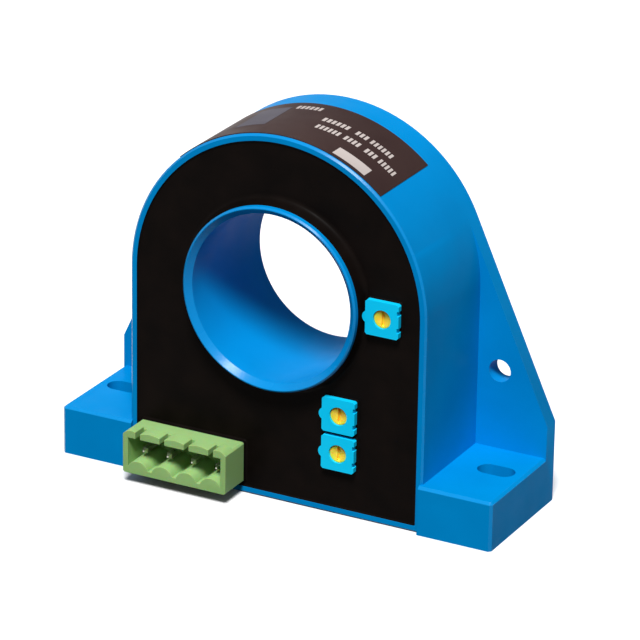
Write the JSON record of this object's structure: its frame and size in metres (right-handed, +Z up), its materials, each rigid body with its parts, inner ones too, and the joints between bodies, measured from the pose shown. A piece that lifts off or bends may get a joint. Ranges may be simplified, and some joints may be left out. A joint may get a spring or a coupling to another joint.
{
  "type": "hall effect current sensor",
  "caption": "Arch-shaped moulded current sensor with a round cable aperture, side feet, rear webs, a plug header and adjusting trimmers in its resin-filled face.",
  "frame": {"origin": "centre of the underside, at the middle of the body's width and depth", "axes": "+X to the right seen from the front, +Y from the front to the back along the aperture, +Z up"},
  "size_m": [0.0884, 0.0324, 0.0701],
  "materials": {
    "blue_housing": "moulded polyester, satin",
    "black_resin": "cast epoxy, smooth",
    "core_steel": "wound silicon steel strip",
    "board_laminate": "glass-epoxy laminate with solder mask",
    "header_green": "moulded polyamide, satin",
    "tinned_metal": "tin-plated copper alloy",
    "trimmer_blue": "moulded polyester, satin",
    "rotor_yellow": "moulded thermoplastic",
    "spring_metal": "stamped spring alloy",
    "cermet_plate": "fired alumina with a printed track",
    "seal_resin": "cast epoxy",
    "package_black": "moulded epoxy",
    "chip_ceramic": "fired ceramic with end caps",
    "label_film": "printed polyester film"
  },
  "bodies": {
    "sensor": {"housing": "blue_housing", "potting_compound": "black_resin", "magnetic_core": "core_steel", "hall_element": "package_black", "hall_leads": "tinned_metal", "circuit_board": "board_laminate", "header_housing": "header_green", "amplifier_chip": "package_black", "amplifier_leads": "tinned_metal", "voltage_regulator": "package_black", "regulator_tab": "tinned_metal", "protection_diode": "package_black", "chip_resistors": "chip_ceramic", "chip_capacitors": "chip_ceramic", "storage_capacitors": "package_black", "capacitor_terminals": "tinned_metal", "rating_label": "label_film", "header_pin_1": "tinned_metal", "header_pin_2": "tinned_metal", "header_pin_3": "tinned_metal", "header_pin_4": "tinned_metal", "trimmer_1_case": "trimmer_blue", "trimmer_1_element": "cermet_plate", "trimmer_1_seal": "seal_resin", "trimmer_1_pins": "tinned_metal", "trimmer_2_case": "trimmer_blue", "trimmer_2_element": "cermet_plate", "trimmer_2_seal": "seal_resin", "trimmer_2_pins": "tinned_metal", "trimmer_3_case": "trimmer_blue", "trimmer_3_element": "cermet_plate", "trimmer_3_seal": "seal_resin", "trimmer_3_pins": "tinned_metal"},
    "rotor_1": {"trimmer_1_rotor": "rotor_yellow", "trimmer_1_wiper": "spring_metal"},
    "rotor_2": {"trimmer_2_rotor": "rotor_yellow", "trimmer_2_wiper": "spring_metal"},
    "rotor_3": {"trimmer_3_rotor": "rotor_yellow", "trimmer_3_wiper": "spring_metal"}
  },
  "joints": [
    {"name": "trimmer_1_turn", "type": "hinge", "parent": "sensor", "child": "rotor_1", "pos_m": [0.0217, -0.0126, 0.04], "axis": [0, -1, 0], "range_deg": [-130, 130]},
    {"name": "trimmer_2_turn", "type": "hinge", "parent": "sensor", "child": "rotor_2", "pos_m": [0.0134, -0.0126, 0.01965], "axis": [0, -1, 0], "range_deg": [-130, 130]},
    {"name": "trimmer_3_turn", "type": "hinge", "parent": "sensor", "child": "rotor_3", "pos_m": [0.0134, -0.0126, 0.0123], "axis": [0, -1, 0], "range_deg": [-130, 130]}
  ]
}
